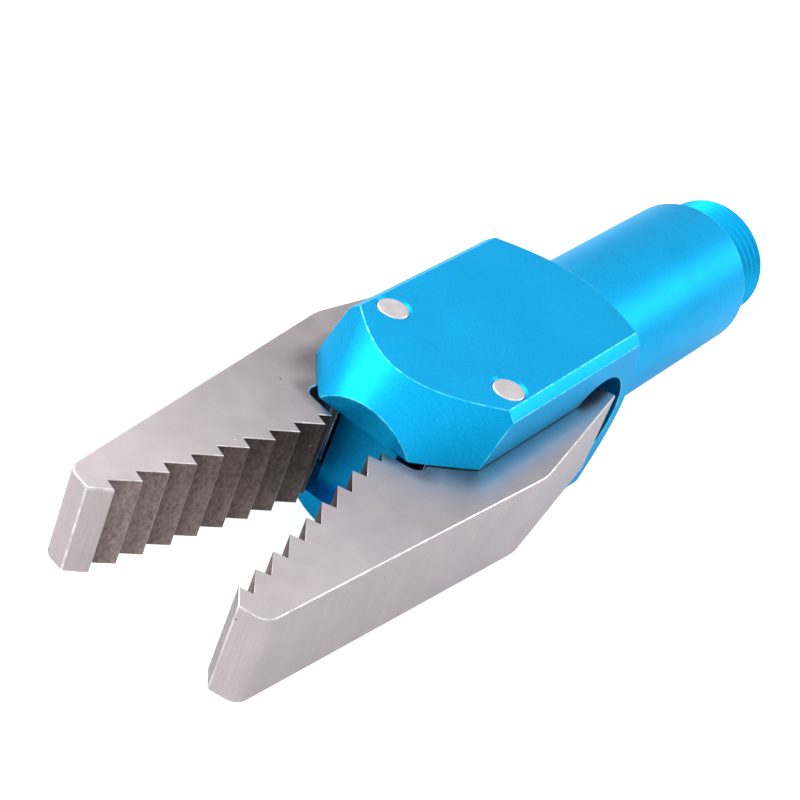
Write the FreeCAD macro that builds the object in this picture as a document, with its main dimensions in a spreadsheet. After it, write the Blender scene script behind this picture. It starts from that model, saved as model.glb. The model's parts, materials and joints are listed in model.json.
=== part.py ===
"""Pneumatic sprue gripper: turned and milled body on a round shank, two toothed jaws on dowel pins,
and a single-acting piston whose wedge spreads the rear arms of the jaws and so closes their tips.

Frame: origin on the shank's axis at its rear shoulder, +X forward to the jaw tips, +Z up, square to
the milled flats. Millimetres. The jaws are drawn closed and placed open, which is the rest position.
"""
import FreeCAD, Part
import os
import re

import Sketcher

os.makedirs("parts", exist_ok=True)
doc = FreeCAD.newDocument("pneumatic_gripper")

# Driving dimensions, in mm and degrees. Stations are measured along X from the shank's rear shoulder.
DIMENSIONS = {
    # body
    "shank_radius": 10.0,
    "shank_length": 34.0,
    "shank_chamfer": 0.25,
    "blank_radius": 16.2,
    "flat_half": 12.0,
    "head_front": 78.1,
    "nose_radius": 8.8,
    "front_cone_angle": 35.0,
    "rear_cone_angle": 52.0,
    "slot_half": 5.9,
    "web_front": 76.0,
    "web_rear": 62.6,
    "web_half": 4.1,
    "web_hole_radius": 1.9,
    "cross_hole_station": 45.1,
    "cross_hole_radius": 7.75,
    "bore_radius": 7.0,
    "bore_end": 32.0,
    "mouth_radius": 8.38,
    "mouth_depth": 9.0,
    "bush_seat_radius": 4.5,
    # pivots
    "pivot_station": 64.0,
    "pivot_offset": 8.5,
    "pin_hole_radius": 2.0,
    "pin_radius": 1.99,
    "pin_recess": 0.1,
    "pin_chamfer": 0.15,
    "countersink": 0.3,
    "jaw_hole_radius": 2.04,
    # jaws: X from the pivot, Y from the centre line on which the closed jaws meet
    "jaw_half_thickness": 5.8,
    "open_angle": 10.5,
    "jaw_front": 47.9,
    "jaw_front_inner": 1.4,
    "jaw_front_outer": 4.84,
    "jaw_front_round": 2.0,
    "first_tooth": 45.4,
    "tooth_pitch": 3.7,
    "tooth_depth": 1.66,
    "tooth_steep_run": 0.3,
    "tooth_land": 0.1,
    "tooth_count": 9,
    "recess_front": 13.85,
    "recess_rear": 8.2,
    "recess_floor": 5.75,
    "recess_front_round": 1.3,
    "recess_rear_round": 0.8,
    "boss_face": 4.55,
    "boss_rear": 6.5,
    "arm_nose_station": 15.91,
    "arm_nose_height": 6.93,
    "arm_nose_round": 2.0,
    "arm_rear": 19.5,
    "arm_rear_inner": 11.5,
    "arm_outer": 17.05,
    "bend_station": 2.5,
    "bend_round": 8.0,
    "spring_hole_station": 4.4,
    "spring_hole_radius": 1.9,
    "spring_hole_floor": 7.4,
    # end plug
    "thread_radius": 8.33,
    "stub_length": 8.4,
    "stub_chamfer": 0.4,
    "relief_radius": 7.5,
    "relief_half_width": 0.4,
    "plug_spigot_radius": 6.9,
    "plug_front": 12.0,
    "plug_groove_radius": 5.5,
    "plug_groove_start": 9.6,
    "plug_groove_end": 11.4,
    "port_radius": 2.1,
    "port_depth": 8.0,
    "port_channel_radius": 1.25,
    "spanner_hole_radius": 1.0,
    "spanner_hole_circle": 6.0,
    "spanner_hole_depth": 2.5,
    "ring_mean_radius": 6.25,
    "ring_section_radius": 0.72,
    # piston
    "piston_radius": 6.94,
    "piston_rear": 13.4,
    "piston_front": 19.9,
    "piston_chamfer": 0.4,
    "seal_groove_radius": 4.95,
    "seal_groove_start": 14.5,
    "seal_groove_end": 17.1,
    "guide_groove_radius": 6.2,
    "guide_groove_start": 17.9,
    "guide_groove_end": 19.1,
    "screw_seat_radius": 3.1,
    "screw_seat_station": 16.9,
    "screw_clearance_radius": 1.6,
    "rod_seat_station": 18.4,
    "soft_fit": 0.03,
    "seal_lip_depth": 1.2,
    "seal_lip_thickness": 0.65,
    # piston rod and what clamps the piston to it
    "rod_radius": 3.0,
    "rod_shoulder": 40.8,
    "rod_spigot_radius": 2.5,
    "rod_spigot_end": 48.8,
    "rod_tapping_radius": 1.25,
    "rod_tapping_depth": 8.0,
    "screw_head_radius": 2.75,
    "screw_head_height": 3.0,
    "screw_radius": 1.24,
    "screw_length": 8.0,
    "screw_socket_flats": 2.5,
    "screw_socket_depth": 1.4,
    "washer_radius": 2.95,
    "washer_hole_radius": 1.55,
    "washer_thickness": 0.45,
    # spreader wedge, in its rest position
    "wedge_half_angle": 28.0,
    "wedge_apex": 56.2,
    "wedge_tip_half": 1.5,
    "wedge_half_width": 7.4,
    "wedge_half_height": 5.6,
    "wedge_tip_round": 0.8,
    "wedge_pin_radius": 1.0,
    "wedge_pin_station": 44.6,
    "wedge_pin_half_length": 5.3,
    # guide bush, washer, bumper and springs
    "bush_flange_radius": 6.0,
    "bush_flange_thickness": 1.0,
    "bush_bore_radius": 3.04,
    "bush_front": 36.9,
    "seat_washer_radius": 6.8,
    "seat_washer_hole_radius": 3.4,
    "seat_washer_thickness": 0.8,
    "bumper_outer_radius": 5.4,
    "bumper_inner_radius": 2.4,
    "bumper_thickness": 1.2,
    "return_wire_radius": 0.42,
    "return_coil_radius": 5.2,
    "return_turns": 4.5,
    "jaw_wire_radius": 0.22,
    "jaw_coil_radius": 1.25,
    "jaw_spring_half_length": 7.9,
    "jaw_spring_turns": 16,
    "jaw_spring_station": 68.65,
    # fits, and how far a cutting outline runs past the material
    "press_fit": 0.01,
    "spigot_end_gap": 0.4,
    "overrun": 1.0,
}

dims = doc.addObject("Spreadsheet::Sheet", "dims")
for row, (alias, value) in enumerate(DIMENSIONS.items(), start=1):
    dims.set(f"A{row}", alias)
    dims.set(f"B{row}", str(value))
    dims.setAlias(f"B{row}", alias)
doc.recompute()

PREFIX = {alias: f"dims.{alias}" for alias in DIMENSIONS}


def sized(expression):
    """The expression with every driving dimension's name pointed at its cell in the sheet."""
    return re.sub(r"[a-z_]+", lambda word: PREFIX.get(word[0], word[0]), expression)


def value_of(expression):
    """The expression's value now, used as the starting value that its constraint then drives."""
    value = doc.dims.evalExpression(sized(expression))
    return float(getattr(value, "Value", value))


def new_body(label):
    body = doc.addObject("PartDesign::Body", label)
    body.Label = label
    return body


def place(body, x, y="0"):
    for axis, expression in (("x", x), ("y", y)):
        if expression != "0":
            body.setExpression(f"Placement.Base.{axis}", sized(expression))


def new_sketch(body, name, plane):
    sketch = body.newObject("Sketcher::SketchObject", f"{body.Label}_{name}")
    origin_plane = next(f for f in body.Origin.OriginFeatures if f.Role == plane)
    sketch.AttachmentSupport = [(origin_plane, "")]
    sketch.MapMode = "FlatFace"
    return sketch


ROOT_POINT = (-1, 1)
AXES = {"X": -2, "Y": -1}


def pin_point(sketch, geometry, position, x, y):
    """Holds one point of the sketch at coordinates that are expressions of the driving dimensions."""
    for direction, expression in (("X", x), ("Y", y)):
        if expression == "0":
            sketch.addConstraint(Sketcher.Constraint("PointOnObject", geometry, position, AXES[direction]))
            continue
        distance = Sketcher.Constraint(
            f"Distance{direction}", *ROOT_POINT, geometry, position, value_of(expression))
        index = sketch.addConstraint(distance)
        sketch.setExpression(f"Constraints[{index}]", sized(expression))


def add_outline(sketch, corners):
    """A closed polygon whose corners are pairs of expressions."""
    points = [FreeCAD.Vector(value_of(x), value_of(y), 0) for x, y in corners]
    first = sketch.GeometryCount
    count = len(points)
    for i, point in enumerate(points):
        sketch.addGeometry(Part.LineSegment(point, points[(i + 1) % count]), False)
    for i in range(count):
        sketch.addConstraint(
            Sketcher.Constraint("Coincident", first + i, 2, first + (i + 1) % count, 1))
    for i, (x, y) in enumerate(corners):
        pin_point(sketch, first + i, 1, x, y)


def add_rectangle(sketch, left, right, bottom, top):
    add_outline(sketch, [(left, bottom), (right, bottom), (right, top), (left, top)])


def add_circle(sketch, x, y, radius):
    centre = FreeCAD.Vector(value_of(x), value_of(y), 0)
    circle = sketch.addGeometry(
        Part.Circle(centre, FreeCAD.Vector(0, 0, 1), value_of(radius)), False)
    pin_point(sketch, circle, 3, x, y)
    index = sketch.addConstraint(Sketcher.Constraint("Radius", circle, value_of(radius)))
    sketch.setExpression(f"Constraints[{index}]", sized(radius))


def volume(body):
    doc.recompute()
    return body.Shape.Volume


def extrude(body, kind, name, sketch, length, midplane=False, reverse=False):
    """A Pad or Pocket of the sketch. A Pocket has to take material away."""
    before = volume(body) if kind == "Pocket" else 0.0
    feature = body.newObject(f"PartDesign::{kind}", f"{body.Label}_{name}")
    feature.Profile = sketch
    feature.Type = 0
    feature.setExpression("Length", sized(length))
    if midplane:
        feature.Midplane = True
    feature.Reversed = reverse
    after = volume(body)
    if kind == "Pocket" and after > before - 1e-6:
        raise RuntimeError(f"{feature.Label} takes nothing away")
    return feature


def turn(body, kind, name, corners):
    """A Revolution or Groove about X of an outline given as (station, radius) expressions."""
    before = volume(body) if kind == "Groove" else 0.0
    sketch = new_sketch(body, name, "XY_Plane")
    add_outline(sketch, corners)
    feature = body.newObject(f"PartDesign::{kind}", f"{body.Label}_{name}_turned")
    feature.Profile = sketch
    feature.ReferenceAxis = (sketch, ["H_Axis"])
    feature.Angle = 360.0
    after = volume(body)
    if kind == "Groove" and after > before - 1e-6:
        raise RuntimeError(f"{feature.Label} takes nothing away")
    return feature


def dress(body, kind, name, size, chosen):
    """A Fillet or Chamfer on the edges of the body for which chosen(edge) is true."""
    doc.recompute()
    base = body.Tip
    names = [f"Edge{i}" for i, edge in enumerate(base.Shape.Edges, start=1) if chosen(edge)]
    if not names:
        raise RuntimeError(f"{body.Label}: no edge for {name}")
    feature = body.newObject(f"PartDesign::{kind}", f"{body.Label}_{name}")
    feature.Base = (base, names)
    feature.setExpression("Radius" if kind == "Fillet" else "Size", sized(size))
    doc.recompute()
    return feature


def circle_edge(radius, **at):
    """Chooses full circles of one radius, and with x=, y= or z= those centred there."""
    wanted = value_of(radius)
    places = {axis: value_of(expression) for axis, expression in at.items()}

    def chosen(edge):
        if not isinstance(edge.Curve, Part.Circle) or abs(edge.Curve.Radius - wanted) > 1e-4:
            return False
        return all(abs(getattr(edge.Curve.Center, a) - p) < 1e-4 for a, p in places.items())

    return chosen


def upright_edge(x, y):
    """Chooses edges parallel to Z that stand at a point of the body's own XY plane."""
    corner = FreeCAD.Vector(value_of(x), value_of(y), 0)

    def chosen(edge):
        ends = [vertex.Point for vertex in edge.Vertexes]
        return len(ends) == 2 and all(
            abs(p.x - corner.x) < 1e-3 and abs(p.y - corner.y) < 1e-3 for p in ends)

    return chosen


def ring(label, start, end, inner, outer):
    """A plain turned ring about X."""
    body = new_body(label)
    turn(body, "Revolution", "ring", [(start, inner), (end, inner), (end, outer), (start, outer)])
    return body


def make_body():
    """Turned from bar, four flats milled, and slotted from both sides for the jaws. The two slots meet
    in a cross-drilled hole, and the web left between them carries the jaw spring."""
    body = new_body("body")
    front_cone_start = "head_front - (blank_radius - nose_radius) / tan(front_cone_angle * 1 deg)"
    rear_cone_end = "shank_length + (blank_radius - shank_radius) / tan(rear_cone_angle * 1 deg)"
    turn(body, "Revolution", "blank", [
        ("0", "0"),
        ("head_front", "0"),
        ("head_front", "nose_radius"),
        (front_cone_start, "blank_radius"),
        (rear_cone_end, "blank_radius"),
        ("shank_length", "shank_radius"),
        ("0", "shank_radius"),
    ])
    flats = new_sketch(body, "flats", "YZ_Plane")
    add_rectangle(flats, "-2 * blank_radius", "2 * blank_radius", "-2 * blank_radius", "2 * blank_radius")
    add_rectangle(flats, "-1 * flat_half", "flat_half", "-1 * flat_half", "flat_half")
    extrude(body, "Pocket", "flats_milled", flats, "3 * head_front", midplane=True)

    slot = new_sketch(body, "slot", "XZ_Plane")
    add_rectangle(slot, "cross_hole_station", "head_front + overrun", "-1 * slot_half", "slot_half")
    extrude(body, "Pocket", "slot_milled", slot, "4 * blank_radius", midplane=True)
    cross = new_sketch(body, "cross_hole", "XZ_Plane")
    add_circle(cross, "cross_hole_station", "0", "cross_hole_radius")
    extrude(body, "Pocket", "cross_hole_drilled", cross, "4 * blank_radius", midplane=True)

    web = new_sketch(body, "web", "XZ_Plane")
    add_rectangle(web, "web_rear", "web_front", "-1 * slot_half - overrun", "slot_half + overrun")
    extrude(body, "Pad", "web_left", web, "2 * web_half", midplane=True)
    spring_way = new_sketch(body, "spring_way", "XZ_Plane")
    add_circle(spring_way, "jaw_spring_station", "0", "web_hole_radius")
    extrude(body, "Pocket", "spring_way_drilled", spring_way, "4 * web_half", midplane=True)

    turn(body, "Groove", "bore", [
        ("-1 * overrun", "0"),
        ("cross_hole_station", "0"),
        ("cross_hole_station", "bush_seat_radius"),
        ("bore_end", "bush_seat_radius"),
        ("bore_end", "bore_radius"),
        ("mouth_depth", "bore_radius"),
        ("mouth_depth", "mouth_radius"),
        ("-1 * overrun", "mouth_radius"),
    ])
    pins = new_sketch(body, "pin_holes", "XY_Plane")
    for side in ("pivot_offset", "-1 * pivot_offset"):
        add_circle(pins, "pivot_station", side, "pin_hole_radius")
    extrude(body, "Pocket", "pin_holes_reamed", pins, "3 * flat_half", midplane=True)

    at_top = circle_edge("pin_hole_radius", z="flat_half")
    at_bottom = circle_edge("pin_hole_radius", z="-1 * flat_half")
    dress(body, "Chamfer", "countersinks", "countersink", lambda edge: at_top(edge) or at_bottom(edge))
    dress(body, "Chamfer", "shank_edge", "shank_chamfer", circle_edge("shank_radius", x="0"))
    return body


def make_jaw(label, flip):
    """One jaw, drawn closed about its pivot. The right jaw is the same piece turned over."""
    body = new_body(label)

    def across(expression):
        return f"{expression} - pivot_offset"

    blank = new_sketch(body, "outline", "XY_Plane")
    add_outline(blank, [
        ("jaw_front", across("jaw_front_inner")),
        ("jaw_front", across("jaw_front_outer")),
        ("bend_station", across("arm_outer")),
        ("-1 * arm_rear", across("arm_outer")),
        ("-1 * arm_rear", across("arm_rear_inner")),
        ("-1 * arm_nose_station", across("arm_nose_height")),
        ("-1 * boss_rear", across("boss_face")),
        ("recess_rear", across("boss_face")),
        ("recess_rear", across("recess_floor")),
        ("recess_front", across("recess_floor")),
        ("recess_front", "-1 * pivot_offset"),
        ("first_tooth", "-1 * pivot_offset"),
    ])
    extrude(body, "Pad", "blank", blank, "2 * jaw_half_thickness", midplane=True)

    rounds = (
        ("front_round", "jaw_front_round", "jaw_front", "jaw_front_outer"),
        ("bend_round", "bend_round", "bend_station", "arm_outer"),
        ("nose_round", "arm_nose_round", "-1 * arm_nose_station", "arm_nose_height"),
        ("recess_front_round", "recess_front_round", "recess_front", "recess_floor"),
        ("recess_rear_round", "recess_rear_round", "recess_rear", "recess_floor"),
    )
    for name, radius, x, y in rounds:
        dress(body, "Fillet", name, radius, upright_edge(x, across(y)))

    # One notch leaves half a land at each of the two tooth tips it lies between.
    notch = new_sketch(body, "notch", "XY_Plane")
    add_outline(notch, [
        ("first_tooth - tooth_land / 2", "-1 * pivot_offset - overrun"),
        ("first_tooth - tooth_land / 2", "-1 * pivot_offset"),
        ("first_tooth - tooth_steep_run", across("tooth_depth")),
        ("first_tooth - tooth_pitch + tooth_land / 2", "-1 * pivot_offset"),
        ("first_tooth - tooth_pitch + tooth_land / 2", "-1 * pivot_offset - overrun"),
    ])
    cut = extrude(body, "Pocket", "notch_cut", notch, "3 * jaw_half_thickness", midplane=True)
    teeth = body.newObject("PartDesign::LinearPattern", f"{label}_teeth")
    teeth.Originals = [cut]
    teeth.Direction = (notch, ["H_Axis"])
    teeth.Reversed = True
    teeth.setExpression("Length", sized("tooth_pitch * (tooth_count - 1)"))
    teeth.setExpression("Occurrences", sized("tooth_count"))
    body.Tip = teeth

    pivot = new_sketch(body, "pivot_hole", "XY_Plane")
    add_circle(pivot, "0", "0", "jaw_hole_radius")
    extrude(body, "Pocket", "pivot_hole_reamed", pivot, "3 * jaw_half_thickness", midplane=True)

    pocket = new_sketch(body, "spring_pocket", "XZ_Plane")
    add_circle(pocket, "spring_hole_station", "0", "spring_hole_radius")
    pocket.setExpression("AttachmentOffset.Base.z", sized("pivot_offset"))
    extrude(body, "Pocket", "spring_pocket_drilled", pocket, "spring_hole_floor")

    place(body, "pivot_station", "-1 * pivot_offset" if flip else "pivot_offset")
    opened = FreeCAD.Rotation(FreeCAD.Vector(0, 0, 1), value_of("open_angle") * (-1 if flip else 1))
    turned_over = FreeCAD.Rotation(FreeCAD.Vector(1, 0, 0), 180 if flip else 0)
    body.Placement = FreeCAD.Placement(body.Placement.Base, opened.multiply(turned_over))
    return body


def make_pivot_pin(label, side):
    body = new_body(label)
    section = new_sketch(body, "section", "XY_Plane")
    add_circle(section, "0", "0", "pin_radius")
    extrude(body, "Pad", "shaft", section, "2 * (flat_half - pin_recess)", midplane=True)
    dress(body, "Chamfer", "ends", "pin_chamfer", circle_edge("pin_radius"))
    place(body, "pivot_station", side)
    return body


def make_end_plug():
    """Threaded plug, relieved at the shoulder: it closes the cylinder, and its rear half is the stub."""
    body = new_body("end_plug")
    turn(body, "Revolution", "blank", [
        ("-1 * stub_length", "0"),
        ("plug_front", "0"),
        ("plug_front", "plug_spigot_radius"),
        ("plug_groove_end", "plug_spigot_radius"),
        ("plug_groove_end", "plug_groove_radius"),
        ("plug_groove_start", "plug_groove_radius"),
        ("plug_groove_start", "plug_spigot_radius"),
        ("mouth_depth", "plug_spigot_radius"),
        ("mouth_depth", "thread_radius"),
        ("relief_half_width", "thread_radius"),
        ("relief_half_width", "relief_radius"),
        ("-1 * relief_half_width", "relief_radius"),
        ("-1 * relief_half_width", "thread_radius"),
        ("-1 * stub_length + stub_chamfer", "thread_radius"),
        ("-1 * stub_length", "thread_radius - stub_chamfer"),
    ])
    turn(body, "Groove", "air_port", [
        ("-1 * stub_length - overrun", "0"),
        ("plug_front + overrun", "0"),
        ("plug_front + overrun", "port_channel_radius"),
        ("port_depth - stub_length", "port_channel_radius"),
        ("port_depth - stub_length", "port_radius"),
        ("-1 * stub_length - overrun", "port_radius"),
    ])
    holes = new_sketch(body, "spanner_holes", "YZ_Plane")
    for side in ("spanner_hole_circle", "-1 * spanner_hole_circle"):
        add_circle(holes, side, "0", "spanner_hole_radius")
    holes.setExpression("AttachmentOffset.Base.z", sized("-1 * stub_length"))
    extrude(body, "Pocket", "spanner_holes_drilled", holes, "spanner_hole_depth", reverse=True)
    return body


def make_o_ring():
    """Seals the plug's spigot in the cylinder mouth."""
    body = new_body("end_plug_o_ring")
    section = new_sketch(body, "section", "XY_Plane")
    add_circle(section, "(plug_groove_start + plug_groove_end) / 2", "ring_mean_radius",
               "ring_section_radius")
    torus = body.newObject("PartDesign::Revolution", "end_plug_o_ring_turned")
    torus.Profile = section
    torus.ReferenceAxis = (section, ["H_Axis"])
    torus.Angle = 360.0
    return body


def make_piston():
    body = new_body("piston")
    turn(body, "Revolution", "blank", [
        ("piston_rear", "0"),
        ("piston_front", "0"),
        ("piston_front", "piston_radius - piston_chamfer"),
        ("piston_front - piston_chamfer", "piston_radius"),
        ("guide_groove_end", "piston_radius"),
        ("guide_groove_end", "guide_groove_radius"),
        ("guide_groove_start", "guide_groove_radius"),
        ("guide_groove_start", "piston_radius"),
        ("seal_groove_end", "piston_radius"),
        ("seal_groove_end", "seal_groove_radius"),
        ("seal_groove_start", "seal_groove_radius"),
        ("seal_groove_start", "piston_radius"),
        ("piston_rear + piston_chamfer", "piston_radius"),
        ("piston_rear", "piston_radius - piston_chamfer"),
    ])
    turn(body, "Groove", "centre_hole", [
        ("piston_rear - overrun", "0"),
        ("piston_front + overrun", "0"),
        ("piston_front + overrun", "rod_radius + soft_fit"),
        ("rod_seat_station", "rod_radius + soft_fit"),
        ("rod_seat_station", "screw_clearance_radius"),
        ("screw_seat_station", "screw_clearance_radius"),
        ("screw_seat_station", "screw_seat_radius"),
        ("piston_rear - overrun", "screw_seat_radius"),
    ])
    return body


def make_lip_seal():
    """U-cup: its two lips open to the rear, towards the air, with a V groove between them."""
    body = new_body("piston_lip_seal")
    rear = "seal_groove_start + soft_fit"
    front = "seal_groove_end - soft_fit"
    inner = "seal_groove_radius + soft_fit"
    outer = "bore_radius - soft_fit"
    turn(body, "Revolution", "ring", [
        (rear, inner),
        (front, inner),
        (front, "piston_radius"),
        (rear, outer),
        (rear, f"{outer} - seal_lip_thickness"),
        (f"{rear} + seal_lip_depth", "(seal_groove_radius + bore_radius) / 2"),
        (rear, f"{inner} + seal_lip_thickness"),
    ])
    return body


def make_guide_ring():
    return ring("piston_guide_ring", "guide_groove_start + soft_fit", "guide_groove_end - soft_fit",
                "guide_groove_radius + soft_fit", "bore_radius - soft_fit")


def make_piston_rod():
    body = new_body("piston_rod")
    turn(body, "Revolution", "blank", [
        ("rod_seat_station", "0"),
        ("rod_spigot_end", "0"),
        ("rod_spigot_end", "rod_spigot_radius"),
        ("rod_shoulder", "rod_spigot_radius"),
        ("rod_shoulder", "rod_radius"),
        ("rod_seat_station", "rod_radius"),
    ])
    turn(body, "Groove", "tapping", [
        ("rod_seat_station - overrun", "0"),
        ("rod_seat_station + rod_tapping_depth + rod_tapping_radius / 2", "0"),
        ("rod_seat_station + rod_tapping_depth", "rod_tapping_radius"),
        ("rod_seat_station - overrun", "rod_tapping_radius"),
    ])
    cross = new_sketch(body, "pin_hole", "XY_Plane")
    add_circle(cross, "wedge_pin_station", "0", "wedge_pin_radius")
    extrude(body, "Pocket", "pin_hole_drilled", cross, "4 * rod_radius", midplane=True)
    return body


def make_piston_screw():
    """Socket head screw that clamps the piston to the rod from the rear."""
    body = new_body("piston_screw")
    seat = "screw_seat_station - washer_thickness"
    turn(body, "Revolution", "blank", [
        (f"{seat} - screw_head_height", "0"),
        (f"{seat} + screw_length", "0"),
        (f"{seat} + screw_length", "screw_radius"),
        (seat, "screw_radius"),
        (seat, "screw_head_radius"),
        (f"{seat} - screw_head_height", "screw_head_radius"),
    ])
    socket = new_sketch(body, "socket", "YZ_Plane")
    corner_radius = "screw_socket_flats / sqrt(3)"
    add_outline(socket, [
        (corner_radius, "0"),
        (f"{corner_radius} / 2", "screw_socket_flats / 2"),
        (f"-1 * {corner_radius} / 2", "screw_socket_flats / 2"),
        (f"-1 * {corner_radius}", "0"),
        (f"-1 * {corner_radius} / 2", "-1 * screw_socket_flats / 2"),
        (f"{corner_radius} / 2", "-1 * screw_socket_flats / 2"),
    ])
    socket.setExpression("AttachmentOffset.Base.z", sized(f"{seat} - screw_head_height"))
    extrude(body, "Pocket", "socket_broached", socket, "screw_socket_depth", reverse=True)
    return body


def make_screw_washer():
    return ring("piston_screw_washer", "screw_seat_station - washer_thickness", "screw_seat_station",
                "washer_hole_radius", "washer_radius")


def make_wedge():
    """Hardened wedge on the front of the rod. Its two flanks bear on the noses of the jaw arms."""
    body = new_body("spreader_wedge")
    outline = new_sketch(body, "outline", "XY_Plane")
    flank_start = "wedge_apex - wedge_tip_half / tan(wedge_half_angle * 1 deg)"
    flank_end = "wedge_apex - wedge_half_width / tan(wedge_half_angle * 1 deg)"
    add_outline(outline, [
        (flank_start, "wedge_tip_half"),
        (flank_end, "wedge_half_width"),
        ("rod_shoulder", "wedge_half_width"),
        ("rod_shoulder", "-1 * wedge_half_width"),
        (flank_end, "-1 * wedge_half_width"),
        (flank_start, "-1 * wedge_tip_half"),
    ])
    extrude(body, "Pad", "block", outline, "2 * wedge_half_height", midplane=True)
    upper_tip = upright_edge(flank_start, "wedge_tip_half")
    lower_tip = upright_edge(flank_start, "-1 * wedge_tip_half")
    dress(body, "Fillet", "tip_rounds", "wedge_tip_round", lambda e: upper_tip(e) or lower_tip(e))
    turn(body, "Groove", "thread_bore", [
        ("rod_shoulder - overrun", "0"),
        ("rod_spigot_end + spigot_end_gap", "0"),
        ("rod_spigot_end + spigot_end_gap", "rod_spigot_radius"),
        ("rod_shoulder - overrun", "rod_spigot_radius"),
    ])
    cross = new_sketch(body, "pin_hole", "XY_Plane")
    add_circle(cross, "wedge_pin_station", "0", "wedge_pin_radius")
    extrude(body, "Pocket", "pin_hole_drilled", cross, "3 * wedge_half_height", midplane=True)
    return body


def make_wedge_pin():
    """Dowel through wedge and rod, so that the wedge can't unscrew."""
    body = new_body("wedge_lock_pin")
    section = new_sketch(body, "section", "XY_Plane")
    add_circle(section, "0", "0", "wedge_pin_radius - press_fit")
    extrude(body, "Pad", "shaft", section, "2 * wedge_pin_half_length", midplane=True)
    place(body, "wedge_pin_station")
    return body


def make_guide_bush():
    """Flanged bronze bush pressed into the bulkhead between cylinder and slot."""
    body = new_body("rod_guide_bush")
    turn(body, "Revolution", "ring", [
        ("bore_end - bush_flange_thickness", "bush_bore_radius"),
        ("bush_front", "bush_bore_radius"),
        ("bush_front", "bush_seat_radius - press_fit"),
        ("bore_end", "bush_seat_radius - press_fit"),
        ("bore_end", "bush_flange_radius"),
        ("bore_end - bush_flange_thickness", "bush_flange_radius"),
    ])
    return body


SEAT_WASHER_REAR = "bore_end - bush_flange_thickness - seat_washer_thickness"


def make_seat_washer():
    return ring("spring_seat_washer", SEAT_WASHER_REAR, "bore_end - bush_flange_thickness",
                "seat_washer_hole_radius", "seat_washer_radius")


def make_bumper():
    return ring("rear_bumper", "plug_front", "plug_front + bumper_thickness",
                "bumper_inner_radius", "bumper_outer_radius")


def make_spring(label, coil, wire, turns, length, start, direction):
    """A coil swept along a helix. Its end coils' wire centres lie one wire radius inside its length."""
    spine = doc.addObject("Part::Helix", f"{label}_spine")
    spine.setExpression("Radius", sized(coil))
    spine.setExpression("Height", sized(f"{length} - 2 * {wire}"))
    spine.setExpression("Pitch", sized(f"({length} - 2 * {wire}) / ({turns})"))
    section = doc.addObject("Part::Circle", f"{label}_section")
    section.setExpression("Radius", sized(wire))
    section.setExpression("Placement.Base.x", sized(coil))
    section.Placement.Rotation = FreeCAD.Rotation(FreeCAD.Vector(1, 0, 0), 90)
    spring = doc.addObject("Part::Sweep", label)
    spring.Label = label
    spring.Sections = [section]
    spring.Spine = (spine, ["Edge1"])
    spring.Solid = True
    spring.Frenet = True
    doc.recompute()
    base = FreeCAD.Vector(*start) + direction * value_of(wire)
    spring.Placement = FreeCAD.Placement(base, FreeCAD.Rotation(FreeCAD.Vector(0, 0, 1), direction))
    return spring


def make_return_spring():
    return make_spring(
        "return_spring", "return_coil_radius", "return_wire_radius", "return_turns",
        f"({SEAT_WASHER_REAR} - piston_front)",
        (value_of("piston_front"), 0, 0), FreeCAD.Vector(1, 0, 0))


def make_jaw_spring():
    return make_spring(
        "jaw_spring", "jaw_coil_radius", "jaw_wire_radius", "jaw_spring_turns",
        "(2 * jaw_spring_half_length)",
        (value_of("jaw_spring_station"), -value_of("jaw_spring_half_length"), 0),
        FreeCAD.Vector(0, 1, 0))


SUB_PARTS = [
    make_body(),
    make_jaw("jaw_left", flip=False),
    make_jaw("jaw_right", flip=True),
    make_pivot_pin("pivot_pin_left", "pivot_offset"),
    make_pivot_pin("pivot_pin_right", "-1 * pivot_offset"),
    make_end_plug(),
    make_o_ring(),
    make_bumper(),
    make_piston(),
    make_lip_seal(),
    make_guide_ring(),
    make_piston_screw(),
    make_screw_washer(),
    make_piston_rod(),
    make_guide_bush(),
    make_seat_washer(),
    make_return_spring(),
    make_wedge(),
    make_wedge_pin(),
    make_jaw_spring(),
]

doc.recompute()
failed = [o.Label for o in doc.Objects if "Invalid" in o.State or "Error" in o.State]
if failed:
    raise RuntimeError(f"failed objects: {failed}")
for sub_part in SUB_PARTS:
    shape = sub_part.Shape
    if shape.isNull() or not shape.isValid():
        raise RuntimeError(f"{sub_part.Label} has no valid shape")
    print(f"{sub_part.Label}: {len(shape.Solids)} solid, {shape.Volume:.1f} mm3")
    shape.exportStep(f"parts/{sub_part.Label}.step")
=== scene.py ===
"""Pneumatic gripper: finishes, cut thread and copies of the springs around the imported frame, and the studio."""
import json
import math

import bmesh
import bpy
from mathutils import Matrix, Vector


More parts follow.
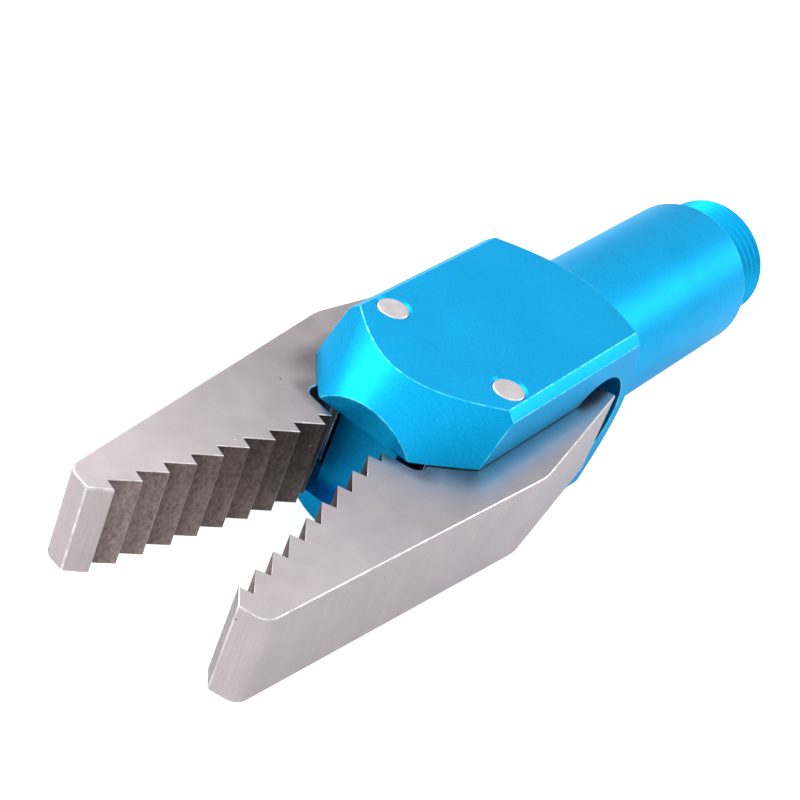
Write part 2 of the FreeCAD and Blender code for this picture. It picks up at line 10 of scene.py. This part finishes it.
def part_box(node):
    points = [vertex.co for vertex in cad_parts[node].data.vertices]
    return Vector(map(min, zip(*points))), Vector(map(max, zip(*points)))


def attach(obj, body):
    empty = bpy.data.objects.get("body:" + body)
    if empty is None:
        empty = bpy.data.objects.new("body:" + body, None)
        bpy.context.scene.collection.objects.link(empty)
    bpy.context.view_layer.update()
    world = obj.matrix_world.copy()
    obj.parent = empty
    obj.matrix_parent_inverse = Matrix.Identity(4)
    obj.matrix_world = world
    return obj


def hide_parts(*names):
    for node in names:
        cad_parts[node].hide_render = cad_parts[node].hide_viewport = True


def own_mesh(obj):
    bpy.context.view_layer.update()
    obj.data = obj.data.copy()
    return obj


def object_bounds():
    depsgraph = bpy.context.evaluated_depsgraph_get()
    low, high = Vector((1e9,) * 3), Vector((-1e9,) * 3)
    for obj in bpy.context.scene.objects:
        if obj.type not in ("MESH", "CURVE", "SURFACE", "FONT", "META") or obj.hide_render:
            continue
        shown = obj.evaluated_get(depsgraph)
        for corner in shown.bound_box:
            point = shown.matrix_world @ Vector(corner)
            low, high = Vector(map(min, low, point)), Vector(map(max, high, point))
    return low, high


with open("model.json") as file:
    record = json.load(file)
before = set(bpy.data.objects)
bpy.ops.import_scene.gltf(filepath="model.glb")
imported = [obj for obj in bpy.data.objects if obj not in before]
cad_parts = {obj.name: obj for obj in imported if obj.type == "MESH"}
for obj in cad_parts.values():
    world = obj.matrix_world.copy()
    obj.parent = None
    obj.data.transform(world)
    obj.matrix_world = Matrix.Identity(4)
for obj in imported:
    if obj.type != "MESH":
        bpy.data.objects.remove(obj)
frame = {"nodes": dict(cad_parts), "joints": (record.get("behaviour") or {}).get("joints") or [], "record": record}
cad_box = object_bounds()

MM = 0.001
TURN = 2 * math.pi

# Vertices closer than SAME_PLACE are one, and so are faces that turn by less than FLAT. An edge is sharp
# if its faces turn by more than SHARP.
SAME_PLACE = 0.001 * MM
FLAT = math.radians(0.4)
SHARP = math.radians(28)

# Widths of the broken edges, in mm, and the share of it that the teeth get. TIP_LAND is a little wider
# than the flat on a tooth tip: merging the vertices across it brings each tip to one edge.
BODY_EDGE = 0.16
JAW_EDGE = 0.22
PIN_EDGE = 0.08
TOOTH_EDGE_SHARE = 0.45
TIP_LAND = 0.105 * MM

# Jaws: how far they stand open at rest, from the position in which their teeth meet. In that position
# FIRST_TOOTH is the station of the foremost tip along X.
JAW_OPEN_ANGLE = math.radians(10.5)
TOOTH_DEPTH = 1.66 * MM
FIRST_TOOTH = 109.4 * MM

# Thread on the stub, G3/8. The V is open over most of the pitch and leaves a narrow crest.
THREAD_PITCH = 1.337 * MM
THREAD_DEPTH = 0.62 * MM
THREAD_OPEN_SHARE = 0.86
THREAD_RINGS_PER_TURN = 12
THREAD_SHARP = math.radians(40)

# Body: how far its head reaches forward and to the sides. The edges that stay sharp are those nearer the
# axis than CORE_RADIUS, at the bores and the slot, and those within PIN_RIM_RADIUS of a pivot.
HEAD_FRONT = 78.1 * MM
HEAD_SIDE = 12 * MM
CORE_RADIUS = 8.5 * MM
PIN_RIM_RADIUS = 3 * MM

BLUE = (0.006, 0.44, 0.85)
STEEL = (0.58, 0.52, 0.54)
# The flanks' colour is partly their own darker tone and partly painted shade.
FLANK_TONE_AND_SHADE = (0.33, 0.26, 0.248)
PIN = (0.73, 0.68, 0.70)
SPECK = (0.97, 0.95, 0.95)
STAIN = (0.12, 0.095, 0.09)

SIDES = ((1, "left"), (-1, "right"))
joints = {joint["name"]: joint for joint in frame["joints"]}
slot_of = {part["node"]: part["material_slot"] for part in frame["record"]["subparts"]}
pivots = {side: Vector(joints[f"jaw_{label}_hinge"]["pos_m"]) for side, label in SIDES}


class Finish:
    """A procedural material on a Principled shader. Sizes are in mm along the object's own axes."""

    def __init__(self, name, color, metallic, roughness, **constants):
        self.material = bpy.data.materials.new(name)
        self.material.use_nodes = True
        self.tree = self.material.node_tree
        self.shader = self.tree.nodes["Principled BSDF"]
        coordinates = self.tree.nodes.new("ShaderNodeTexCoord")
        self.position = coordinates.outputs["Object"]
        self.normal = coordinates.outputs["Normal"]
        self.give("Base Color", (*color, 1.0))
        self.give("Metallic", metallic)
        self.give("Roughness", roughness)
        for socket, value in constants.items():
            self.give(socket.replace("_", " "), value)

    def link(self, source, target):
        if isinstance(source, bpy.types.NodeSocket):
            self.tree.links.new(source, target)
        else:
            target.default_value = source

    def give(self, socket, source):
        self.link(source, self.shader.inputs[socket])

    def math(self, operation, *values):
        node = self.tree.nodes.new("ShaderNodeMath")
        node.operation = operation
        for value, target in zip(values, node.inputs):
            self.link(value, target)
        return node.outputs[0]

    def chain(self, operation, values):
        result = values[0]
        for value in values[1:]:
            result = self.math(operation, result, value)
        return result

    def plus(self, *terms):
        return self.chain("ADD", terms)

    def times(self, *factors):
        return self.chain("MULTIPLY", factors)

    def size_of(self, value):
        return self.math("ABSOLUTE", value)

    def length(self, first, second):
        return self.math("SQRT", self.plus(self.times(first, first), self.times(second, second)))

    def vector_math(self, operation, *values):
        node = self.tree.nodes.new("ShaderNodeVectorMath")
        node.operation = operation
        for value, target in zip(values, node.inputs):
            self.link(value, target)
        return node.outputs["Vector"]

    def parts(self, vector):
        node = self.tree.nodes.new("ShaderNodeSeparateXYZ")
        self.link(vector, node.inputs[0])
        return node.outputs["X"], node.outputs["Y"], node.outputs["Z"]

    def spread(self, value, low, high, out_low=0.0, out_high=1.0):
        """The value remapped from low..high to out_low..out_high, and held there beyond."""
        node = self.tree.nodes.new("ShaderNodeMapRange")
        for source, socket in ((value, "Value"), (low, "From Min"), (high, "From Max"),
                               (out_low, "To Min"), (out_high, "To Max")):
            self.link(source, node.inputs[socket])
        return node.outputs["Result"]

    def vary(self, noise, low, high):
        """The middle of a noise's range, spread over low..high."""
        return self.spread(noise, 0.3, 0.7, low, high)

    def scaled(self, size, stretch=(1, 1, 1), position=None):
        """Coordinates in which one unit is size mm, times stretch along each axis."""
        scale = tuple(1 / (size * MM * s) for s in stretch)
        return self.vector_math("MULTIPLY", position or self.position, scale)

    def noise(self, size, stretch=(1, 1, 1), detail=2.0, position=None):
        node = self.tree.nodes.new("ShaderNodeTexNoise")
        self.link(self.scaled(size, stretch, position), node.inputs["Vector"])
        node.inputs["Scale"].default_value = 1.0
        node.inputs["Detail"].default_value = detail
        return node.outputs["Fac"]

    def dots(self, spacing, radius, share):
        """1 inside scattered spots of one radius, 0 elsewhere. Only a share of the cells has one."""
        node = self.tree.nodes.new("ShaderNodeTexVoronoi")
        self.link(self.scaled(spacing), node.inputs["Vector"])
        node.inputs["Scale"].default_value = 1.0
        spot = self.spread(node.outputs["Distance"], 0.6 * radius / spacing, radius / spacing, 1.0, 0.0)
        chance = self.parts(node.outputs["Color"])[0]
        return self.times(spot, self.math("LESS_THAN", chance, share))

    def mix(self, factor, first, second):
        node = self.tree.nodes.new("ShaderNodeMix")
        node.data_type = "RGBA"
        color_inputs = [socket for socket in node.inputs if socket.type == "RGBA"]
        self.link(factor, node.inputs[0])
        self.link(first, color_inputs[0])
        self.link(second, color_inputs[1])
        return next(socket for socket in node.outputs if socket.type == "RGBA")

    def shaded(self, color, factor):
        """The colour times the factor, which may be a socket."""
        node = self.tree.nodes.new("ShaderNodeVectorMath")
        node.operation = "SCALE"
        self.link(color, node.inputs[0])
        self.link(factor, node.inputs["Scale"])
        return node.outputs["Vector"]

    def bump(self, height, depth, below=None):
        """Relief of the given depth in mm, laid over an earlier bump if there is one."""
        node = self.tree.nodes.new("ShaderNodeBump")
        node.inputs["Strength"].default_value = 1.0
        node.inputs["Distance"].default_value = depth * MM
        self.link(height, node.inputs["Height"])
        if below is not None:
            self.link(below, node.inputs["Normal"])
        return node.outputs["Normal"]


def turned_share(f):
    """1 where the surface is round about X and faces outward, 0 on the flats and end faces."""
    y, z = f.parts(f.position)[1:]
    normal_y, normal_z = f.parts(f.normal)[1:]
    outward = f.math("DIVIDE", f.plus(f.times(y, normal_y), f.times(z, normal_z)), f.length(y, z))
    flat = f.math("MAXIMUM", f.size_of(normal_y), f.size_of(normal_z))
    return f.times(f.spread(outward, 0.7, 0.8), f.spread(flat, 0.999, 0.9999, 1.0, 0.0))


def blue_anodised(name, color, roughness, grain_depth):
    """Dyed, bead-blasted aluminium, with turning marks left on the round surfaces."""
    f = Finish(name, color, 1.0, roughness, Specular_Tint=(0.74, 0.92, 1.0, 1.0))
    turned = turned_share(f)
    grain = f.noise(0.24, detail=1.0)
    patches = f.noise(9.0, detail=1.0)
    rings = f.noise(0.35, stretch=(1, 400, 400))
    value = f.plus(f.vary(grain, -0.08, 0.08), f.vary(patches, 0.96, 1.03),
                   f.times(turned, f.vary(rings, -0.03, 0.03)))
    f.give("Base Color", f.shaded(color, value))
    f.give("Roughness", f.plus(f.vary(grain, roughness - 0.03, roughness + 0.04),
                               f.spread(f.noise(2.5), 0.35, 0.65, -0.02, 0.02)))
    f.give("Normal", f.bump(f.times(turned, rings), 0.004, f.bump(grain, grain_depth)))
    return f.material


def in_closed_position(f, side):
    """The coordinates that a point of the open jaw has when the jaws are closed."""
    turn = f.tree.nodes.new("ShaderNodeVectorRotate")
    turn.rotation_type = "Z_AXIS"
    f.link(f.position, turn.inputs["Vector"])
    turn.inputs["Center"].default_value = pivots[side]
    turn.inputs["Angle"].default_value = -side * JAW_OPEN_ANGLE
    return turn.outputs["Vector"]


def top_darkening_and_painted_shadow(f, side, x):
    """The ground faces darken toward the head, with a band of painted shadow beside it and one ahead of it."""
    darker_toward_head = f.spread(x, 78 * MM, 100 * MM, 0.74, 1.0)
    across = f.times(f.parts(f.position)[1], float(side))
    # Painted shadow: dark bands on the ground faces beside the head's side and ahead of its front, where the head
    # shades the jaw.
    beside = f.times(f.spread(across, HEAD_SIDE + 0.1 * MM, HEAD_SIDE + 2.2 * MM, 0.5, 0.0),
                     f.spread(x, 74 * MM, 78 * MM, 1.0, 0.0))
    ahead = f.times(f.spread(x, HEAD_FRONT + 0.1 * MM, HEAD_FRONT + 1.5 * MM, 0.4, 0.0),
                    f.spread(across, 9 * MM, 11 * MM, 1.0, 0.0))
    return f.times(darker_toward_head, f.math("SUBTRACT", 1.0, f.math("MAXIMUM", beside, ahead)))


def flank_shade(f, out, x, pits, clouds):
    """The flanks of the teeth get painted shade: light at the tips and dark toward the roots, and darker from
    tooth to tooth toward the head.
    """
    toward_roots = f.spread(out, 0.1 * MM, TOOTH_DEPTH, 1.3, 0.5)
    toward_head = f.spread(x, 78 * MM, 104 * MM, 0.6, 1.0)
    return f.times(f.times(toward_roots, toward_head),
                   f.plus(f.spread(pits, 0.36, 0.60, 0.72, 1.12), f.vary(clouds, -0.15, 0.15)))


def jaw_steel(name, side):
    """Ground on top and bottom, milled across the sides, pitted on the tooth flanks and dark there, partly their
    own tone and partly painted shade.
    """
    f = Finish(name, STEEL, 1.0, 0.34)
    closed = in_closed_position(f, side)
    x, y = f.parts(closed)[:2]
    out = f.times(y, float(side))
    normal_y, normal_z = f.parts(f.normal)[1:]
    top = f.spread(f.size_of(normal_z), 0.5, 0.8)
    side_face = f.math("SUBTRACT", 1.0, top)
    flank = f.times(f.spread(out, TOOTH_DEPTH, TOOTH_DEPTH + 0.25 * MM, 1.0, 0.0),
                    f.spread(f.size_of(normal_y), 0.55, 0.65),
                    f.spread(x, FIRST_TOOTH, FIRST_TOOTH + 0.1 * MM, 1.0, 0.0))

    mottle = f.noise(3.5, detail=3.0, position=closed)
    grain = f.noise(0.2, detail=3.0, position=closed)
    milling = f.noise(0.22, stretch=(1, 1, 26), position=closed)
    grinding = f.plus(f.times(f.noise(0.16, stretch=(30, 1, 30), position=closed), 0.6),
                      f.times(f.noise(0.2, stretch=(1, 22, 22), position=closed), 0.4))
    pits = f.noise(0.38, stretch=(1, 1, 1.5), detail=4.0, position=closed)
    clouds = f.noise(2.2, stretch=(1, 1, 2), position=closed)

    value = f.plus(f.vary(mottle, 0.95, 1.04), f.vary(grain, -0.035, 0.035),
                   f.times(top, f.vary(grinding, -0.02, 0.02)),
                   f.times(side_face, f.vary(milling, -0.07, 0.05)))
    # The ground faces get painted shadow beside and ahead of the head, and grow darker toward it.
    value = f.times(value, f.spread(top, 0.0, 1.0, 1.0, top_darkening_and_painted_shadow(f, side, x)))
    color = f.mix(flank, f.shaded(STEEL, value), f.shaded(FLANK_TONE_AND_SHADE, flank_shade(f, out, x, pits, clouds)))
    color = f.mix(f.dots(2.2, 0.14, f.spread(flank, 0.0, 1.0, 0.1, 0.5)), color, (*STAIN, 1.0))
    f.give("Base Color", f.mix(f.dots(2.8, 0.10, 0.3), color, (*SPECK, 1.0)))
    f.give("Roughness", f.plus(f.vary(mottle, 0.30, 0.36),
                               f.times(side_face, f.vary(milling, 0.02, 0.12)), f.times(flank, 0.14)))
    relief = f.bump(f.times(side_face, milling), 0.010)
    relief = f.bump(f.times(top, grinding), 0.003, relief)
    relief = f.bump(f.times(flank, pits), 0.03, relief)
    f.give("Normal", f.bump(grain, 0.004, relief))
    return f.material


def worn_edge_with_highlight(name, bright, dull, roughness):
    """A rubbed edge, bright partly from wear and partly as a painted highlight, with duller stretches where it is
    less worn.
    """
    f = Finish(name, bright, 1.0, roughness)
    rubbed_and_highlit = f.spread(f.noise(1.1, detail=3.0), 0.4, 0.6)
    f.give("Base Color", f.mix(rubbed_and_highlit, (*dull, 1.0), (*bright, 1.0)))
    f.give("Roughness", f.spread(rubbed_and_highlit, 0.0, 1.0, roughness + 0.12, roughness))
    f.give("Normal", f.bump(f.noise(0.14), 0.002))
    return f.material


def turned_metal(name, color, roughness, axis="X", center=(0, 0, 0), pitch=0.12, depth=0.003):
    """Metal faced and turned about one axis: fine rings on its ends and along its length."""
    f = Finish(name, color, 1.0, roughness)
    x, y, z = f.parts(f.vector_math("SUBTRACT", f.position, tuple(center)))
    along, first, second = {"X": (x, y, z), "Z": (z, x, y)}[axis]
    combine = f.tree.nodes.new("ShaderNodeCombineXYZ")
    f.link(f.length(first, second), combine.inputs[0])
    f.link(along, combine.inputs[1])
    rings = f.noise(pitch, position=combine.outputs[0])
    smudge = f.noise(1.6)
    f.give("Base Color", f.shaded(color, f.plus(f.vary(rings, -0.05, 0.05), f.vary(smudge, 0.93, 1.05))))
    f.give("Roughness", f.vary(smudge, roughness - 0.04, roughness + 0.06))
    f.give("Normal", f.bump(rings, depth))
    return f.material


def moulded(name, color, roughness):
    """Rubber or plastic: a matt skin with faint flow marks."""
    f = Finish(name, color, 0.0, roughness)
    skin = f.noise(0.15)
    flow = f.noise(2.0, detail=1.0)
    f.give("Base Color", f.shaded(color, f.vary(flow, 0.9, 1.1)))
    f.give("Roughness", f.vary(skin, roughness - 0.06, roughness + 0.06))
    f.give("Normal", f.bump(skin, 0.006))
    return f.material


finishes = {
    "blue_anodised": blue_anodised("blue_anodised", BLUE, 0.41, 0.012),
    "hardened_steel": turned_metal("hardened_steel", (0.33, 0.33, 0.35), 0.28),
    "black_screw": turned_metal("black_screw", (0.03, 0.03, 0.035), 0.38),
    "plain_steel": turned_metal("plain_steel", (0.58, 0.57, 0.56), 0.26),
    "plain_aluminium": turned_metal("plain_aluminium", (0.78, 0.79, 0.80), 0.32),
    "bronze": turned_metal("bronze", (0.58, 0.36, 0.16), 0.34),
    "spring_steel": turned_metal("spring_steel", (0.50, 0.50, 0.52), 0.24, pitch=0.5, depth=0.001),
    "black_rubber": moulded("black_rubber", (0.015, 0.015, 0.016), 0.55),
    "amber_polyurethane": moulded("amber_polyurethane", (0.62, 0.30, 0.04), 0.35),
    "ptfe": moulded("ptfe", (0.80, 0.79, 0.75), 0.42),
}
# The edge materials are lighter than the faces: partly wear, partly a painted highlight along the broken edges.
blue_edge = worn_edge_with_highlight("blue_anodised_edge", (0.16, 0.80, 1.0), (0.02, 0.56, 0.95), 0.30)
steel_edge = worn_edge_with_highlight("jaw_steel_edge", (0.90, 0.87, 0.88), (0.66, 0.61, 0.63), 0.22)


def paint(piece, *materials):
    piece.data.materials.clear()
    for material in materials:
        piece.data.materials.append(material)


def add_bevel(piece, width, limit_method):
    """Breaks edges with a narrow two-step chamfer in the piece's second material. The width is in mm."""
    bevel = piece.modifiers.new("edges", "BEVEL")
    bevel.width = width * MM
    bevel.segments = 2
    bevel.limit_method = limit_method
    bevel.angle_limit = SHARP
    bevel.material = 1
    bevel.miter_outer = "MITER_ARC"
    weighted = piece.modifiers.new("shading", "WEIGHTED_NORMAL")
    weighted.keep_sharp = True


def break_edges_in_place(piece, width):
    """Joins a CAD node's mesh up and breaks its sharp edges, all by modifiers."""
    weld = piece.modifiers.new("weld", "WELD")
    weld.merge_threshold = SAME_PLACE
    merge = piece.modifiers.new("merge", "DECIMATE")
    merge.decimate_type = "DISSOLVE"
    merge.angle_limit = FLAT
    add_bevel(piece, width, "ANGLE")


def copy_of(node):
    """A separate piece with the node's mesh, in its place, which stands for it."""
    piece = bpy.data.objects.new(f"{node}_piece", frame["nodes"][node].data.copy())
    bpy.context.scene.collection.objects.link(piece)
    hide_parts(node)
    return piece


def opened(piece, merge=SAME_PLACE):
    """The piece's mesh for editing, its triangles joined into whole faces."""
    mesh = bmesh.new()
    mesh.from_mesh(piece.data)
    bmesh.ops.remove_doubles(mesh, verts=mesh.verts, dist=merge)
    bmesh.ops.dissolve_limit(mesh, angle_limit=FLAT, verts=mesh.verts, edges=mesh.edges)
    return mesh


def put_back(mesh, piece, sharp_angle):
    mesh.to_mesh(piece.data)
    mesh.free()
    piece.data.shade_smooth()
    piece.data.set_sharp_from_angle(angle=sharp_angle)


def with_broken_edges(node, width, share, merge=SAME_PLACE):
    """A copy of the node, its sharp edges broken by a share of the width that depends on their place."""
    piece = copy_of(node)
    mesh = opened(piece, merge)
    weights = mesh.edges.layers.float.new("bevel_weight_edge")
    for edge in mesh.edges:
        if edge.is_manifold and edge.calc_face_angle() > SHARP:
            edge[weights] = share((edge.verts[0].co + edge.verts[1].co) / 2)
    put_back(mesh, piece, SHARP)
    add_bevel(piece, width, "WEIGHT")
    return piece


def body_edge_share(middle):
    """Only the outer edges are broken, and not the rims of the pin holes."""
    if math.hypot(middle.y, middle.z) < CORE_RADIUS:
        return 0.0
    from_pins = min((middle - pivot).to_2d().length for pivot in pivots.values())
    return 0.0 if from_pins < PIN_RIM_RADIUS else 1.0


def jaw_edge_share(side):
    """The edges of the teeth are broken less than the outline of the jaw."""
    to_closed = Matrix.Rotation(-side * JAW_OPEN_ANGLE, 3, "Z")

    def share(middle):
        place = pivots[side] + to_closed @ (middle - pivots[side])
        toothed = side * place.y < TOOTH_DEPTH + 0.1 * MM and place.x < FIRST_TOOTH
        return TOOTH_EDGE_SHARE if toothed else 1.0
    return share


def make_body():
    body = with_broken_edges("body", BODY_EDGE, body_edge_share)
    paint(body, finishes["blue_anodised"], blue_edge)
    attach(body, "housing")


def make_jaw(side, label):
    jaw = with_broken_edges(f"jaw_{label}", JAW_EDGE, jaw_edge_share(side), TIP_LAND)
    paint(jaw, jaw_steel(f"jaw_steel_{label}", side), steel_edge)
    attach(jaw, f"{label}_jaw")


def finish_pin(label):
    pin = frame["nodes"][f"pivot_pin_{label}"]
    low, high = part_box(f"pivot_pin_{label}")
    material = turned_metal(f"pin_steel_{label}", PIN, 0.36, "Z", (low + high) / 2, 0.14, 0.002)
    paint(pin, material, steel_edge)
    break_edges_in_place(pin, PIN_EDGE)


def wind_thread(mesh, rear, front, radius):
    """Cuts the cylinder of that radius into narrow rings, and sinks a V that winds round X into them."""
    skin = 0.03 * MM
    rings = math.ceil((front - rear) / THREAD_PITCH * THREAD_RINGS_PER_TURN)
    for ring in range(1, rings):
        station = rear + (front - rear) * ring / rings
        everything = mesh.verts[:] + mesh.edges[:] + mesh.faces[:]
        bmesh.ops.bisect_plane(mesh, geom=everything, plane_co=(station, 0, 0), plane_no=(1, 0, 0))
    for vertex in mesh.verts:
        x, y, z = vertex.co
        r = math.hypot(y, z)
        if r > radius - skin and rear <= x <= front:
            turns = (x / THREAD_PITCH - math.atan2(z, y) / TURN) % 1.0
            depth = THREAD_DEPTH * max(0.0, 1.0 - abs(2 * turns - 1) / THREAD_OPEN_SHARE)
            vertex.co = (x, y * (r - depth) / r, z * (r - depth) / r)


def make_threaded_plug():
    """The end plug with the visible part of its thread cut, up to the body's rear shoulder at X = 0."""
    low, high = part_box("end_plug")
    piece = copy_of("end_plug")
    mesh = opened(piece)
    wind_thread(mesh, low.x, 0.0, high.y)
    put_back(mesh, piece, THREAD_SHARP)
    paint(piece, finishes["blue_anodised"])
    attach(piece, "housing")


def make_spring(node):
    """A copy of a spring in its place, with the finish of its slot, kept with the housing."""
    piece = copy_of(node)
    paint(piece, finishes[slot_of[node]])
    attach(piece, "housing")
    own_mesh(piece)


def make_return_spring():
    make_spring("return_spring")


def make_jaw_spring():
    make_spring("jaw_spring")


def add_mesh(name, vertices, faces):
    mesh = bpy.data.meshes.new(name)
    mesh.from_pydata(vertices, [], faces)
    piece = bpy.data.objects.new(name, mesh)
    bpy.context.scene.collection.objects.link(piece)
    return piece


def add_floor():
    """A wide sheet of pale paper with a glow of its own, strong enough for the camera to see it white."""
    half = 3.0
    level = cad_box[0].z
    color = (0.75, 0.75, 0.75)
    glow, glow_for_camera = 0.12, 0.85
    corners = [(-half, -half, level), (half, -half, level), (half, half, level), (-half, half, level)]
    floor = add_mesh("floor", corners, [(0, 1, 2, 3)])
    f = Finish("floor_paper", color, 0.0, 0.9)
    f.give("Base Color", f.shaded(color, f.vary(f.noise(40.0), 0.99, 1.0)))
    f.give("Emission Color", (1.0, 1.0, 1.0, 1.0))
    seen = f.tree.nodes.new("ShaderNodeLightPath").outputs["Is Camera Ray"]
    f.give("Emission Strength", f.spread(seen, 0.0, 1.0, glow, glow_for_camera))
    paint(floor, f.material)


def direction(azimuth, elevation):
    """A unit vector, from degrees: azimuth from +X toward +Y, elevation above the floor."""
    turn, rise = math.radians(azimuth), math.radians(elevation)
    return Vector((math.cos(rise) * math.cos(turn), math.cos(rise) * math.sin(turn), math.sin(rise)))


def add_panel(name, azimuth, elevation, width, height, radiance):
    """A soft light panel that faces the middle of the object."""
    distance = 0.55
    target = Vector((0.05, 0, 0))
    lamp = bpy.data.lights.new(name, "AREA")
    lamp.shape = "RECTANGLE"
    lamp.size = width
    lamp.size_y = height
    lamp.energy = radiance * math.pi * width * height
    toward = direction(azimuth, elevation)
    panel = bpy.data.objects.new(name, lamp)
    panel.matrix_world = Matrix.Translation(target + distance * toward) @ (
        toward.to_track_quat("Z", "Y").to_matrix().to_4x4())
    bpy.context.scene.collection.objects.link(panel)


def add_world():
    """Soft light from all round, dim near the horizon and brighter overhead."""
    dim, bright = 0.6, 1.15
    dim_below, bright_above = math.radians(24), math.radians(47)
    world = bpy.data.worlds.new("studio")
    world.use_nodes = True
    nodes = world.node_tree.nodes
    links = world.node_tree.links
    split = nodes.new("ShaderNodeSeparateXYZ")
    rise = nodes.new("ShaderNodeMapRange")
    links.new(nodes.new("ShaderNodeTexCoord").outputs["Generated"], split.inputs[0])
    links.new(split.outputs["Z"], rise.inputs["Value"])
    rise.inputs["From Min"].default_value = math.sin(dim_below)
    rise.inputs["From Max"].default_value = math.sin(bright_above)
    rise.inputs["To Min"].default_value = dim
    rise.inputs["To Max"].default_value = bright
    links.new(rise.outputs["Result"], nodes["Background"].inputs["Strength"])
    nodes["Background"].inputs["Color"].default_value = (1.0, 1.0, 1.0, 1.0)
    bpy.context.scene.world = world


def add_camera():
    """A view from the front and left of the jaws, from above, rolled about the line of sight."""
    target = Vector((0.06159, -0.00453, 0.0))
    distance = 0.2704
    roll = math.radians(21.77)
    back = direction(24.06, 34.0)
    level_right = Vector((0, 0, 1)).cross(back).normalized()
    level_up = back.cross(level_right)
    right = math.cos(roll) * level_right + math.sin(roll) * level_up
    up = back.cross(right)
    camera = bpy.data.objects.new("camera", bpy.data.cameras.new("camera"))
    camera.data.lens = 103.31
    camera.data.sensor_width = 36.0
    camera.data.clip_start = 0.01
    camera.matrix_world = Matrix.Translation(target + distance * back) @ (
        Matrix((right, up, back)).transposed().to_4x4())
    bpy.context.scene.collection.objects.link(camera)
    bpy.context.scene.camera = camera


# CAD nodes that keep their shapes get their finishes here; the pins, jaws, body, plug and springs follow.
for node, piece in frame["nodes"].items():
    if slot_of[node] in finishes:
        paint(piece, finishes[slot_of[node]])

make_body()
for side, label in SIDES:
    make_jaw(side, label)
    finish_pin(label)
make_threaded_plug()
make_return_spring()
make_jaw_spring()

add_floor()
add_world()
add_panel("key_left", azimuth=-90, elevation=40, width=0.72, height=0.36, radiance=2.3)
add_panel("rim_right", azimuth=143, elevation=26, width=0.34, height=0.24, radiance=2.0)
add_camera()
bpy.context.scene.view_settings.view_transform = "Standard"
